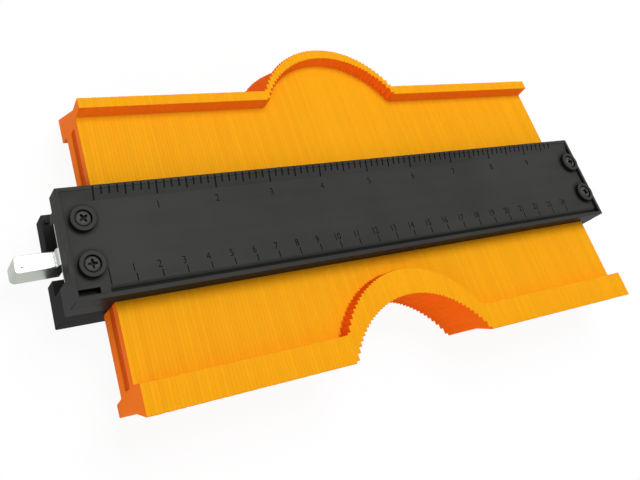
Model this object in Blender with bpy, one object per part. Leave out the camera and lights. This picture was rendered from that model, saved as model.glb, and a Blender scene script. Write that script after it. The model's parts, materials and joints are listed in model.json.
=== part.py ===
"""Contour gauge: two covers, a pack of sliding leaves and a cam lock lever.

Frame: +X along the ruler, -Y towards the centimetre edge, +Z up.
The origin is the centre of the body's underside.
"""

import math

import bmesh
import bpy
from mathutils import Matrix, Vector

MM = 0.001

# Body covers
BODY_LENGTH = 276.4 * MM
BODY_WIDTH = 43.0 * MM
BODY_HEIGHT = 32.0 * MM
COVER_THICKNESS = 7.7 * MM
RULER_ZERO_FROM_END = 14.4 * MM
PARTING_GAP = 0.1 * MM
CORNER_CHAMFER_X = 1.6 * MM
CORNER_CHAMFER_Y = 2.6 * MM

# Ruler face of the top cover
RIM_WIDTH = 1.5 * MM
FLOOR_DEPTH = 1.5 * MM
FRONT_CHANNEL_DEPTH = 0.6 * MM
FRONT_CHANNEL_IN = 4.4 * MM
BACK_RAMP_WIDTH = 4.3 * MM
BACK_RAMP_DEPTH = 0.25 * MM
CHANNEL_SLOPE_OUT = 0.5 * MM
CHANNEL_SLOPE_IN = 0.3 * MM
CHANNEL_START = 0.6 * MM
END_SLOT_LENGTH = 8.0 * MM
END_SLOT_INSET_X = 2.1 * MM
END_SLOT_INSET_Y = 2.4 * MM
END_SLOT_WIDTH = 2.2 * MM
END_SLOT_DEPTH = 4.2 * MM
TICK_WIDTH = 0.36 * MM
TICK_DEPTH = 0.25 * MM
INCH = 25.4 * MM
CENTIMETRE = 10.0 * MM
TICK_FRONT_INSET = 5.3 * MM
TICK_BACK_INSET = 1.9 * MM
ZERO_TICK = 7.3 * MM
CENTIMETRE_TICK = 2.8 * MM
EIGHTH_TICK = 2.0 * MM
HALF_TICK = 2.7 * MM
INCH_TICK = 3.6 * MM
RULER_END_MARGIN = 9.0 * MM

# Cover screws, their collars and nuts
SCREW_INSET_LEFT = 8.6 * MM
SCREW_INSET_RIGHT = 5.0 * MM
SCREW_Y = 8.7 * MM
SHANK_RADIUS = 1.5 * MM
SCREW_HEAD_RADIUS = 3.5 * MM
SCREW_HEAD_HEIGHT = 1.3 * MM
SCREW_HEAD_ROUND = 0.45 * MM
CROSS_ARM = 1.9 * MM
CROSS_WIDTH = 0.8 * MM
CROSS_DEPTH = 0.9 * MM
COLLAR_RADIUS = 4.8 * MM
COLLAR_RISE = 0.5 * MM
COUNTERBORE_DEPTH = 1.4 * MM
COUNTERBORE_CLEARANCE = 0.25 * MM
SCREW_HOLE_CLEARANCE = 0.2 * MM
SEAT_GAP = 0.08 * MM
BOSS_RADIUS = 3.0 * MM
NUT_ACROSS_FLATS = 5.5 * MM
NUT_THICKNESS = 2.4 * MM
NUT_CLEARANCE = 0.2 * MM
NUT_BORE_CLEARANCE = 0.1 * MM
NUT_SINK = 0.4 * MM
SCREW_END_SINK = 0.6 * MM

# Walls of the lever bay and the end block
END_BLOCK_LENGTH = 7.7 * MM
END_BLOCK_CLEARANCE = 0.2 * MM
SIDE_WALL = 2.4 * MM
WALL_CLEARANCE = 0.3 * MM
CORNER_PILLAR_LENGTH = 5.8 * MM
CORNER_PILLAR_WIDTH = 10.2 * MM
CORNER_PILLAR_CHAMFER = 1.5 * MM
BACK_WALL_INSET = 5.2 * MM
LUG_INSET_X = 0.4 * MM
LUG_LENGTH = 4.4 * MM
LUG_WIDTH = 5.2 * MM
LUG_INSET_Y = 1.5 * MM
LUG_UNDER_PIN = 1.4 * MM
LOCATOR_RADIUS = 0.9 * MM
LOCATOR_HEIGHT = 1.2 * MM
LOCATOR_INSET_X = 1.9 * MM
LOCATOR_INSET_Y = 3.0 * MM

# Lock lever and its pin
PIN_INSET = 2.0 * MM
PIN_DROP = 3.2 * MM
PIN_RADIUS = 1.3 * MM
PIN_SEAT_DEPTH = 4.5 * MM
PIN_END_CLEARANCE = 0.2 * MM
PIN_SEAT_CLEARANCE = 0.1 * MM
KNUCKLE_WALL = 1.2 * MM
KNUCKLE_CLEARANCE = 0.1 * MM
LEVER_WIDTH = 6.8 * MM
LEVER_SHIFT = -1.3 * MM
LEVER_LENGTH = 17.6 * MM
LEVER_DROP = 0.7 * MM
LEVER_SHEET = 1.1 * MM
LEVER_REACH = 12.6 * MM
LEVER_HEEL = 1.0 * MM
LEVER_BEND = 0.4 * MM
LEVER_DIMPLE_RADIUS = 0.6 * MM
LEVER_DIMPLE_INSET = 2.6 * MM
LEVER_SLOT_CLEARANCE = 0.4 * MM

# Pressure plate between the lever and the leaves
PLATE_THICKNESS = 1.2 * MM
PLATE_TRAVEL = 0.8 * MM
PLATE_CLEARANCE = 0.3 * MM
PLATE_CHAMFER = 0.6 * MM
PLATE_TO_LEAF = 0.4 * MM

# Leaves
LEAF_PITCH = 2.1 * MM
LEAVES_PER_SET = 3
SET_GAP = 0.1 * MM
LEAF_FUSE = 0.02 * MM
LEAF_SHIFT = 1.5 * MM
HEAD_SET_BACK = 1.7 * MM
WEB_CLEARANCE = 0.3 * MM
FRONT_TIP_TOP = -64.5 * MM
FRONT_TIP_LOW = -59.0 * MM
FRONT_KINK = (-61.0 * MM, 3.6 * MM)
BACK_TIP_LOW = 64.8 * MM
BACK_TIP_TOP = 58.8 * MM
BACK_KINK = (57.6 * MM, 6.4 * MM)
LONG_FLANGE = 11.3 * MM
SHORT_FLANGE = 4.7 * MM
FLANGE_SLOPE = 0.8 * MM
SIDE_GROOVE_HALF = 1.6 * MM
SIDE_GROOVE_DEPTH = 0.45 * MM
SIDE_GROOVE_INSET = 4.0 * MM

# The arch that the leaves hold after a round workpiece
ARCH_SHIFT = -3.1 * MM
ARCH_RADIUS = 40.7 * MM
ARCH_DEPTH = 21.7 * MM

# Places that follow from the sizes above
X_LEFT = -BODY_LENGTH / 2
X_RIGHT = BODY_LENGTH / 2
Y_FRONT = -BODY_WIDTH / 2
Y_BACK = BODY_WIDTH / 2
MID_Z = BODY_HEIGHT / 2
LOW_INNER = COVER_THICKNESS
TOP_INNER = BODY_HEIGHT - COVER_THICKNESS
HEAD_HALF_HEIGHT = MID_Z - HEAD_SET_BACK
WEB_HALF_HEIGHT = MID_Z - LOW_INNER - WEB_CLEARANCE
RULER_ZERO = X_LEFT + RULER_ZERO_FROM_END
FLOOR_Z = BODY_HEIGHT - FLOOR_DEPTH
PIN_X = X_LEFT + PIN_INSET
PIN_Z = TOP_INNER - PIN_DROP
PIN_HOLE_RADIUS = PIN_RADIUS + PIN_SEAT_CLEARANCE
KNUCKLE_BORE = PIN_RADIUS + KNUCKLE_CLEARANCE
KNUCKLE_RADIUS = KNUCKLE_BORE + KNUCKLE_WALL
LUG_BACK = Y_BACK - LUG_INSET_Y
LUG_FRONT = LUG_BACK - LUG_WIDTH
PILLAR_BACK = Y_FRONT + CORNER_PILLAR_WIDTH
LEVER_FRONT = LEVER_SHIFT - LEVER_WIDTH / 2
LEVER_BACK = LEVER_SHIFT + LEVER_WIDTH / 2
LEVER_TIP = PIN_X - LEVER_LENGTH
LEVER_TOP = PIN_Z - LEVER_DROP
LEVER_LOW = PIN_Z - LEVER_REACH
PLATE_START = PIN_X + LEVER_REACH + PLATE_CLEARANCE - PLATE_TRAVEL
PACK_START = PLATE_START + PLATE_THICKNESS + PLATE_TRAVEL + PLATE_TO_LEAF
WALL_END = PACK_START - WALL_CLEARANCE
SET_PITCH = LEAVES_PER_SET * LEAF_PITCH
PACK_ROOM = X_RIGHT - END_BLOCK_LENGTH - END_BLOCK_CLEARANCE - PACK_START
SET_COUNT = int(PACK_ROOM / SET_PITCH + 0.001)
PACK_END = PACK_START + SET_COUNT * SET_PITCH
ARCH_CENTRE = (PACK_START + PACK_END) / 2 + ARCH_SHIFT
SCREW_X_LEFT = X_LEFT + SCREW_INSET_LEFT
SCREW_X_RIGHT = X_RIGHT - SCREW_INSET_RIGHT
SCREW_PLACES = (
    (SCREW_X_LEFT, -SCREW_Y),
    (SCREW_X_LEFT, SCREW_Y),
    (SCREW_X_RIGHT, -SCREW_Y),
    (SCREW_X_RIGHT, SCREW_Y),
)


def clear_scene():
    for item in list(bpy.data.objects):
        bpy.data.objects.remove(item, do_unlink=True)


def make_material(name, colour, roughness, metallic=0.0, coat=0.0):
    material = bpy.data.materials.new(name)
    material.use_nodes = True
    shader = material.node_tree.nodes["Principled BSDF"]
    shader.inputs["Base Color"].default_value = (*colour, 1.0)
    shader.inputs["Roughness"].default_value = roughness
    shader.inputs["Metallic"].default_value = metallic
    shader.inputs["Coat Weight"].default_value = coat
    material.diffuse_color = (*colour, 1.0)
    return material


def link_mesh(name, work, material=None):
    """Turn a finished bmesh into a named object with its faces pointing out."""
    bmesh.ops.recalc_face_normals(work, faces=work.faces)
    mesh = bpy.data.meshes.new(name)
    work.to_mesh(mesh)
    work.free()
    item = bpy.data.objects.new(name, mesh)
    bpy.context.collection.objects.link(item)
    if material:
        mesh.materials.append(material)
    return item


def add_box(work, x0, x1, y0, y1, z0, z1):
    cube = bmesh.ops.create_cube(work, size=1.0)
    for vertex in cube["verts"]:
        vertex.co.x = x0 if vertex.co.x < 0 else x1
        vertex.co.y = y0 if vertex.co.y < 0 else y1
        vertex.co.z = z0 if vertex.co.z < 0 else z1


def box(name, x0, x1, y0, y1, z0, z1, material=None):
    work = bmesh.new()
    add_box(work, x0, x1, y0, y1, z0, z1)
    return link_mesh(name, work, material)


def prism(name, outline, axis, start, end, material=None):
    """Extrude a closed outline along one axis."""
    work = bmesh.new()
    if axis == "X":
        points = [(start, a, b) for a, b in outline]
        along = Vector((end - start, 0.0, 0.0))
    elif axis == "Y":
        points = [(a, start, b) for a, b in outline]
        along = Vector((0.0, end - start, 0.0))
    else:
        points = [(a, b, start) for a, b in outline]
        along = Vector((0.0, 0.0, end - start))
    face = work.faces.new([work.verts.new(point) for point in points])
    result = bmesh.ops.extrude_face_region(work, geom=[face], use_keep_orig=True)
    moved = [part for part in result["geom"] if isinstance(part, bmesh.types.BMVert)]
    bmesh.ops.translate(work, verts=moved, vec=along)
    return link_mesh(name, work, material)


def circle(centre_a, centre_b, radius, segments, turn=0.0):
    outline = []
    for index in range(segments):
        angle = 2 * math.pi * index / segments + turn
        outline.append((centre_a + radius * math.cos(angle), centre_b + radius * math.sin(angle)))
    return outline


def apply_boolean(target, tool, operation):
    modifier = target.modifiers.new("cut", "BOOLEAN")
    modifier.operation = operation
    modifier.solver = "EXACT"
    modifier.object = tool
    graph = bpy.context.evaluated_depsgraph_get()
    mesh = bpy.data.meshes.new_from_object(target.evaluated_get(graph))
    target.modifiers.remove(modifier)
    old = target.data
    target.data = mesh
    bpy.data.meshes.remove(old)
    bpy.data.objects.remove(tool, do_unlink=True)


def cut(target, tool):
    apply_boolean(target, tool, "DIFFERENCE")


def add(target, tool):
    apply_boolean(target, tool, "UNION")


def tidy(item, material, smooth_angle=None):
    mesh = item.data
    work = bmesh.new()
    work.from_mesh(mesh)
    bmesh.ops.remove_doubles(work, verts=work.verts, dist=0.000001)
    bmesh.ops.dissolve_limit(work, angle_limit=0.0005, verts=work.verts, edges=work.edges)
    bmesh.ops.triangulate(work, faces=[face for face in work.faces if len(face.verts) > 4])
    bmesh.ops.recalc_face_normals(work, faces=work.faces)
    work.to_mesh(mesh)
    work.free()
    mesh.materials.clear()
    mesh.materials.append(material)
    if smooth_angle is None:
        return
    for polygon in mesh.polygons:
        polygon.use_smooth = True
    mesh.set_sharp_from_angle(angle=smooth_angle)


def set_origin(item, x, y, z):
    """Put the object's origin on its joint's axis without moving its shape."""
    place = Vector((x, y, z))
    item.data.transform(Matrix.Translation(-place))
    item.location = place


def cover_outline():
    return [
        (X_LEFT, Y_FRONT),
        (X_RIGHT, Y_FRONT),
        (X_RIGHT, Y_BACK),
        (X_LEFT + CORNER_CHAMFER_X, Y_BACK),
        (X_LEFT, Y_BACK - CORNER_CHAMFER_Y),
    ]


def pillar_outline():
    """Front corner pillar and front wall at the lever end, seen from above."""
    wall = Y_FRONT + SIDE_WALL
    side = X_LEFT + CORNER_PILLAR_LENGTH
    return [
        (X_LEFT, Y_FRONT),
        (WALL_END, Y_FRONT),
        (WALL_END, wall),
        (side, wall),
        (side, PILLAR_BACK - CORNER_PILLAR_CHAMFER),
        (side - CORNER_PILLAR_CHAMFER, PILLAR_BACK),
        (X_LEFT, PILLAR_BACK),
    ]


def add_posts(cover, low, high):
    """Half of everything that holds the two covers apart."""
    add(cover, prism("pillar", pillar_outline(), "Z", low, high))
    wall_start = X_LEFT + BACK_WALL_INSET
    add(cover, box("back wall", wall_start, WALL_END, Y_BACK - SIDE_WALL, Y_BACK, low, high))
    block_start = PACK_END + END_BLOCK_CLEARANCE
    add(cover, box("end block", block_start, X_RIGHT, Y_FRONT, Y_BACK, low, high))
    for x, y in SCREW_PLACES[:2]:
        add(cover, prism("boss", circle(x, y, BOSS_RADIUS, 32), "Z", low, high))


def screw_holes(cover, low, high):
    radius = SHANK_RADIUS + SCREW_HOLE_CLEARANCE
    for x, y in SCREW_PLACES:
        cut(cover, prism("hole", circle(x, y, radius, 24), "Z", low, high))


def ramp_height(y):
    """Height of the sloped strip under the inch ticks."""
    end = Y_BACK - RIM_WIDTH
    rise = (FLOOR_DEPTH - BACK_RAMP_DEPTH) / BACK_RAMP_WIDTH
    return FLOOR_Z + rise * max(0.0, y - (end - BACK_RAMP_WIDTH))


def tick_boxes():
    """All ruler ticks as one cutter, each a narrow box through its surface."""
    boxes = []
    last = X_RIGHT - RULER_END_MARGIN
    front = Y_FRONT + TICK_FRONT_INSET
    for step in range(int((last - RULER_ZERO) / CENTIMETRE) + 1):
        length = ZERO_TICK if step == 0 else CENTIMETRE_TICK
        boxes.append((RULER_ZERO + step * CENTIMETRE, front, front + length, FLOOR_Z - TICK_DEPTH))
    back = Y_BACK - TICK_BACK_INSET
    for step in range(int((last - RULER_ZERO) / (INCH / 8)) + 1):
        length = EIGHTH_TICK
        if step % 4 == 0:
            length = HALF_TICK
        if step % 8 == 0:
            length = INCH_TICK
        low = ramp_height(back - length) - TICK_DEPTH
        boxes.append((RULER_ZERO + step * INCH / 8, back - length, back, low))
    work = bmesh.new()
    half = TICK_WIDTH / 2
    for x, y0, y1, low in boxes:
        add_box(work, x - half, x + half, y0, y1, low, BODY_HEIGHT + 1 * MM)
    return link_mesh("ticks", work)


def cut_ruler_face(cover):
    above = BODY_HEIGHT + 1 * MM
    end = Y_BACK - RIM_WIDTH
    ramp = [
        (end - BACK_RAMP_WIDTH, FLOOR_Z),
        (end, BODY_HEIGHT - BACK_RAMP_DEPTH),
        (end, above),
    ]
    start = Y_FRONT + RIM_WIDTH
    channel_z = FLOOR_Z - FRONT_CHANNEL_DEPTH
    channel_in = Y_FRONT + FRONT_CHANNEL_IN
    ruler = [
        (start, above),
        (start + CHANNEL_SLOPE_OUT, channel_z),
        (channel_in - CHANNEL_SLOPE_IN, channel_z),
        (channel_in, FLOOR_Z),
    ] + ramp
    plain = [(start, above), (start, FLOOR_Z)] + ramp
    channel_start = RULER_ZERO - CHANNEL_START
    cut(cover, prism("ruler recess", ruler, "X", channel_start, X_RIGHT - RIM_WIDTH))
    cut(cover, prism("end recess", plain, "X", X_LEFT + RIM_WIDTH, channel_start + 0.2 * MM))
    slot_x = X_LEFT + END_SLOT_INSET_X
    slot_y = Y_FRONT + END_SLOT_INSET_Y
    cut(cover, box(
        "end slot", slot_x, slot_x + END_SLOT_LENGTH, slot_y, slot_y + END_SLOT_WIDTH,
        BODY_HEIGHT - END_SLOT_DEPTH, above))


def build_top_cover(material):
    cover = prism("top_cover", cover_outline(), "Z", TOP_INNER, BODY_HEIGHT)
    root = TOP_INNER + 0.5 * MM
    add_posts(cover, MID_Z + PARTING_GAP / 2, root)
    lug_x = X_LEFT + LUG_INSET_X
    lug_low = PIN_Z - PIN_RADIUS - LUG_UNDER_PIN
    add(cover, box("lug", lug_x, lug_x + LUG_LENGTH, LUG_FRONT, LUG_BACK, lug_low, root))
    cut_ruler_face(cover)
    top = BODY_HEIGHT + COLLAR_RISE
    above = top + 1 * MM
    for x, y in SCREW_PLACES:
        add(cover, prism("collar", circle(x, y, COLLAR_RADIUS, 48), "Z", FLOOR_Z - 0.8 * MM, top))
    for x, y in SCREW_PLACES:
        bore = SCREW_HEAD_RADIUS + COUNTERBORE_CLEARANCE
        cut(cover, prism("counterbore", circle(x, y, bore, 48), "Z", top - COUNTERBORE_DEPTH, above))
    screw_holes(cover, 0.0, above)
    seat_start = PILLAR_BACK - PIN_SEAT_DEPTH - PIN_END_CLEARANCE
    pin_hole = circle(PIN_X, PIN_Z, PIN_HOLE_RADIUS, 32)
    cut(cover, prism("pin hole", pin_hole, "Y", seat_start, Y_BACK + 1 * MM))
    cut(cover, tick_boxes())
    tidy(cover, material, math.radians(32))
    return cover


def build_bottom_cover(material):
    cover = prism("bottom_cover", cover_outline(), "Z", 0.0, LOW_INNER)
    root = LOW_INNER - 0.5 * MM
    add_posts(cover, root, MID_Z - PARTING_GAP / 2)
    locator = circle(X_LEFT + LOCATOR_INSET_X, Y_BACK - LOCATOR_INSET_Y, LOCATOR_RADIUS, 20)
    add(cover, prism("locator", locator, "Z", root, LOW_INNER + LOCATOR_HEIGHT))
    slot_end = PIN_X + LEVER_REACH + LEVER_SLOT_CLEARANCE
    cut(cover, box(
        "lever slot", X_LEFT - 1 * MM, slot_end, LEVER_FRONT - LEVER_SLOT_CLEARANCE,
        LEVER_BACK + LEVER_SLOT_CLEARANCE, -1 * MM, LOW_INNER + 1 * MM))
    nut_radius = (NUT_ACROSS_FLATS / 2 + NUT_CLEARANCE) / math.cos(math.pi / 6)
    depth = NUT_THICKNESS + NUT_SINK + SEAT_GAP
    for x, y in SCREW_PLACES:
        cut(cover, prism("nut pocket", circle(x, y, nut_radius, 6), "Z", -1 * MM, depth))
    screw_holes(cover, -1 * MM, BODY_HEIGHT)
    tidy(cover, material, math.radians(32))
    return cover


def build_screw(name, x, y, material):
    seat = BODY_HEIGHT + COLLAR_RISE - COUNTERBORE_DEPTH + SEAT_GAP
    screw = prism(name, circle(x, y, SHANK_RADIUS, 24), "Z", SCREW_END_SINK, seat + 0.5 * MM)
    head = prism("head", circle(x, y, SCREW_HEAD_RADIUS, 48), "Z", seat, seat + SCREW_HEAD_HEIGHT)
    dome = head.data
    work = bmesh.new()
    work.from_mesh(dome)
    middle = seat + SCREW_HEAD_HEIGHT / 2
    top = [edge for edge in work.edges if all(vertex.co.z > middle for vertex in edge.verts)]
    bmesh.ops.bevel(work, geom=top, offset=SCREW_HEAD_ROUND, segments=2, affect="EDGES", profile=0.5)
    work.to_mesh(dome)
    work.free()
    add(screw, head)
    face = seat + SCREW_HEAD_HEIGHT
    half = CROSS_WIDTH / 2
    arm = CROSS_ARM
    quarter = [(arm, -half), (arm, half), (half, half)]
    outline = []
    for turn_index in range(4):
        angle = math.radians(22) + turn_index * math.pi / 2
        for a, b in quarter:
            outline.append((
                x + a * math.cos(angle) - b * math.sin(angle),
                y + a * math.sin(angle) + b * math.cos(angle)))
    cut(screw, prism("cross", outline, "Z", face - CROSS_DEPTH, face + 1 * MM))
    tidy(screw, material, math.radians(35))
    return screw


def build_nut(name, x, y, material):
    low = NUT_SINK
    radius = NUT_ACROSS_FLATS / 2 / math.cos(math.pi / 6)
    nut = prism(name, circle(x, y, radius, 6), "Z", low, low + NUT_THICKNESS)
    bore = SHANK_RADIUS + NUT_BORE_CLEARANCE
    cut(nut, prism("bore", circle(x, y, bore, 24), "Z", low - 1 * MM, low + NUT_THICKNESS + 1 * MM))
    tidy(nut, material, math.radians(32))
    return nut


def build_pin(material):
    front = PILLAR_BACK - PIN_SEAT_DEPTH
    back = LUG_BACK - PIN_END_CLEARANCE
    pin = prism("lever_pin", circle(PIN_X, PIN_Z, PIN_RADIUS, 32), "Y", front, back)
    tidy(pin, material, math.radians(35))
    return pin


def build_lever(material):
    heel = PIN_X + LEVER_HEEL
    outline = [
        (LEVER_TIP, LEVER_LOW),
        (heel, LEVER_LOW),
        (heel, LEVER_TOP),
        (LEVER_TIP + LEVER_BEND, LEVER_TOP),
        (LEVER_TIP, LEVER_TOP - LEVER_BEND),
    ]
    lever = prism("lock_lever", outline, "Y", LEVER_FRONT, LEVER_BACK)
    cut(lever, box(
        "inside", LEVER_TIP + LEVER_SHEET, heel + 1 * MM, LEVER_FRONT + LEVER_SHEET,
        LEVER_BACK - LEVER_SHEET, LEVER_LOW - 1 * MM, LEVER_TOP - LEVER_SHEET))
    knuckle = circle(PIN_X, PIN_Z, KNUCKLE_RADIUS, 40)
    add(lever, prism("knuckle", knuckle, "Y", LEVER_FRONT, LEVER_BACK))
    bore = circle(PIN_X, PIN_Z, KNUCKLE_BORE, 32)
    cut(lever, prism("pin bore", bore, "Y", LEVER_FRONT - 1 * MM, LEVER_BACK + 1 * MM))
    dimple = circle(LEVER_TIP + LEVER_DIMPLE_INSET, LEVER_SHIFT, LEVER_DIMPLE_RADIUS, 16)
    low = LEVER_TOP - LEVER_SHEET - 1 * MM
    cut(lever, prism("dimple", dimple, "Z", low, LEVER_TOP + 1 * MM))
    tidy(lever, material, math.radians(32))
    set_origin(lever, PIN_X, LEVER_SHIFT, PIN_Z)
    return lever


def build_pressure_plate(material):
    low = LOW_INNER + PLATE_CLEARANCE
    high = TOP_INNER - PLATE_CLEARANCE
    front = Y_FRONT + SIDE_WALL + PLATE_CLEARANCE
    back = Y_BACK - SIDE_WALL - PLATE_CLEARANCE
    chamfer = PLATE_CHAMFER
    outline = [
        (front, low + chamfer), (front + chamfer, low), (back - chamfer, low), (back, low + chamfer),
        (back, high - chamfer), (back - chamfer, high), (front + chamfer, high), (front, high - chamfer),
    ]
    plate = prism("pressure_plate", outline, "X", PLATE_START, PLATE_START + PLATE_THICKNESS)
    tidy(plate, material)
    set_origin(plate, PLATE_START, 0.0, MID_Z)
    return plate


def leaf_offset(index):
    """How far a leaf is pushed back by the round shape it holds."""
    middle = PACK_START + (index + 0.5) * LEAF_PITCH - ARCH_CENTRE
    if abs(middle) >= ARCH_RADIUS:
        return 0.0
    drop = ARCH_RADIUS - ARCH_DEPTH
    return max(0.0, math.sqrt(ARCH_RADIUS ** 2 - middle ** 2) - drop)


def leaf_outline(shift):
    head = HEAD_HALF_HEIGHT
    web = WEB_HALF_HEIGHT
    front_top = FRONT_TIP_TOP + LONG_FLANGE
    front_low = FRONT_TIP_LOW + SHORT_FLANGE
    back_low = BACK_TIP_LOW - LONG_FLANGE
    back_top = BACK_TIP_TOP - SHORT_FLANGE
    points = [
        (FRONT_TIP_TOP, head), FRONT_KINK, (FRONT_TIP_LOW, -head),
        (front_low, -head), (front_low + FLANGE_SLOPE, -web),
        (back_low - FLANGE_SLOPE, -web), (back_low, -head),
        (BACK_TIP_LOW, -head), BACK_KINK, (BACK_TIP_TOP, head),
        (back_top, head), (back_top - FLANGE_SLOPE, web),
        (front_top + FLANGE_SLOPE, web), (front_top, head),
    ]
    return [(a + shift, MID_Z + b) for a, b in points]


def build_leaf_set(number, material):
    first = (number - 1) * LEAVES_PER_SET
    start = PACK_START + first * LEAF_PITCH
    offsets = [leaf_offset(first + step) for step in range(LEAVES_PER_SET)]
    name = "leaf_set_%02d" % number
    end = start + LEAVES_PER_SET * LEAF_PITCH - SET_GAP
    if max(offsets) - min(offsets) < 0.01 * MM:
        leaf_set = prism(name, leaf_outline(LEAF_SHIFT + offsets[0]), "X", start, end)
    else:
        leaf_set = None
        for step, offset in enumerate(offsets):
            left = start + step * LEAF_PITCH
            right = end if step == LEAVES_PER_SET - 1 else left + LEAF_PITCH + LEAF_FUSE
            leaf = prism(name, leaf_outline(LEAF_SHIFT + offset), "X", left, right)
            if leaf_set is None:
                leaf_set = leaf
            else:
                add(leaf_set, leaf)
    inset = LONG_FLANGE + SIDE_GROOVE_INSET
    groove_front = LEAF_SHIFT + min(offsets) + FRONT_TIP_TOP + inset
    groove_back = LEAF_SHIFT + max(offsets) + BACK_TIP_LOW - inset
    cut(leaf_set, box(
        "side groove", start - 1 * MM, start + SIDE_GROOVE_DEPTH, groove_front, groove_back,
        MID_Z - SIDE_GROOVE_HALF, MID_Z + SIDE_GROOVE_HALF))
    tidy(leaf_set, material)
    set_origin(leaf_set, (start + end) / 2, 0.0, MID_Z)
    return leaf_set


def main():
    clear_scene()
    black = make_material("cover black plastic", (0.028, 0.027, 0.025), 0.5)
    dark = make_material("bottom black plastic", (0.024, 0.023, 0.022), 0.55)
    screw_black = make_material("blackened screw steel", (0.05, 0.048, 0.045), 0.35, 0.8)
    nut_steel = make_material("plated nut steel", (0.55, 0.55, 0.53), 0.32, 1.0)
    lever_steel = make_material("plated lever steel", (0.72, 0.72, 0.7), 0.25, 1.0)
    pin_steel = make_material("bright pin steel", (0.6, 0.6, 0.58), 0.22, 1.0)
    plate_plastic = make_material("grey plate plastic", (0.12, 0.12, 0.12), 0.5)
    build_bottom_cover(dark)
    build_top_cover(black)
    for index, (x, y) in enumerate(SCREW_PLACES):
        build_screw("cover_screw_%d" % (index + 1), x, y, screw_black)
        build_nut("cover_nut_%d" % (index + 1), x, y, nut_steel)
    build_pin(pin_steel)
    build_lever(lever_steel)
    build_pressure_plate(plate_plastic)
    for number in range(1, SET_COUNT + 1):
        shade = 0.97 + 0.03 * math.sin(number * 2.4)
        colour = (0.93 * shade, 0.36 * shade, 0.012)
        orange = make_material("orange leaf %02d" % number, colour, 0.38, 0.0, 0.15)
        build_leaf_set(number, orange)


main()
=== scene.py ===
"""Contour gauge: ruler covers, a pack of sliding leaves and a steel lock lever.

Laid out as a Blender add-on and run as a script. Lengths are in metres in the
part's own frame: +X along the ruler, -Y towards the centimetre edge, +Z up.
"""

import json
import math

import bmesh
import bpy
from bpy.props import FloatProperty, FloatVectorProperty, IntProperty, PointerProperty
from mathutils import Matrix, Vector

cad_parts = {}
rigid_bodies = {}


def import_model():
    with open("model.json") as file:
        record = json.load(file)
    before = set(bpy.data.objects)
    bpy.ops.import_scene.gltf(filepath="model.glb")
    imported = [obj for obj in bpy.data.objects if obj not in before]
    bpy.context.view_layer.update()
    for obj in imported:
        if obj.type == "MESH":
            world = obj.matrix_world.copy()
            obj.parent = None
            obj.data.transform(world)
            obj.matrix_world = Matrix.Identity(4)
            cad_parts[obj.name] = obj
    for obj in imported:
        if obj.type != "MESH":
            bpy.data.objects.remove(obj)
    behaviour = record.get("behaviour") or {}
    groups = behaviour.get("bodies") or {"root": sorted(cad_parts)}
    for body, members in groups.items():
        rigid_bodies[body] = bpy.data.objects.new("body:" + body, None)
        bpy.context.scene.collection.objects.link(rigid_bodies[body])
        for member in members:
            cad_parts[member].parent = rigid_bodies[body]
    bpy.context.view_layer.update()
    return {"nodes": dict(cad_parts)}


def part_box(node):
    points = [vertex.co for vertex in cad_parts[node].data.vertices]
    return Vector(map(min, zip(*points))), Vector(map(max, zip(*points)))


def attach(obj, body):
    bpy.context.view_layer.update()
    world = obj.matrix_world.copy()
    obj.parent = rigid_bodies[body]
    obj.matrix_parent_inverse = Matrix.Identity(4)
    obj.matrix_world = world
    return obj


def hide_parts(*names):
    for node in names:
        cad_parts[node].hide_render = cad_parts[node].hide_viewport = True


bl_info = {
    "name": "Contour Gauge",
    "version": (1, 0, 0),
    "blender": (4, 5, 0),
    "location": "View3D > Sidebar > Gauge",
    "description": "Builds a detailed contour gauge around its solid model",
    "category": "Object",
}

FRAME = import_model()
MM = 0.001
INCH = 25.4 * MM
CENTIMETRE = 10 * MM

COVER_LOW, COVER_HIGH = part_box("top_cover")
PIN_LOW, PIN_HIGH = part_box("lever_pin")
LEVER_LOW, LEVER_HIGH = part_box("lock_lever")
PLATE_LOW, PLATE_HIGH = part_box("pressure_plate")
SET_NAMES = sorted(name for name in FRAME["nodes"] if name.startswith("leaf_set_"))
PACK_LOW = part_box(SET_NAMES[0])[0]
PACK_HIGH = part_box(SET_NAMES[-1])[1]
SCREW_NAMES = sorted(name for name in FRAME["nodes"] if name.startswith("cover_screw_"))
NUT_NAMES = sorted(name for name in FRAME["nodes"] if name.startswith("cover_nut_"))

PIN_X, PIN_Z = (PIN_LOW.x + PIN_HIGH.x) / 2, (PIN_LOW.z + PIN_HIGH.z) / 2
PIN_RADIUS = (PIN_HIGH.x - PIN_LOW.x) / 2
OVERCUT = 1 * MM

# Posts, walls and lug between the covers
COVER_CORNER = 0.5 * MM
WALL = 2.4 * MM
PACK_CLEARANCE = 0.3 * MM
PILLAR_DEPTH, PILLAR_REACH, PILLAR_CORNER = 5.8 * MM, 8.7 * MM, 1.5 * MM
BACK_WALL_START = 5.2 * MM
BOSS_RADIUS = 3.0 * MM
ROOT = 0.5 * MM
HALF_SEAM = 0.05 * MM
LUG_START, LUG_END, LUG_FRONT, LUG_BACK = 0.4 * MM, 4.8 * MM, 12.3 * MM, 16.0 * MM
LUG_DROP = 1.4 * MM
LOCATOR_INSET, LOCATOR_BACK, LOCATOR_RADIUS = 1.9 * MM, 3.0 * MM, 0.9 * MM
LOCATOR_RISE = 1.2 * MM

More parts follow.
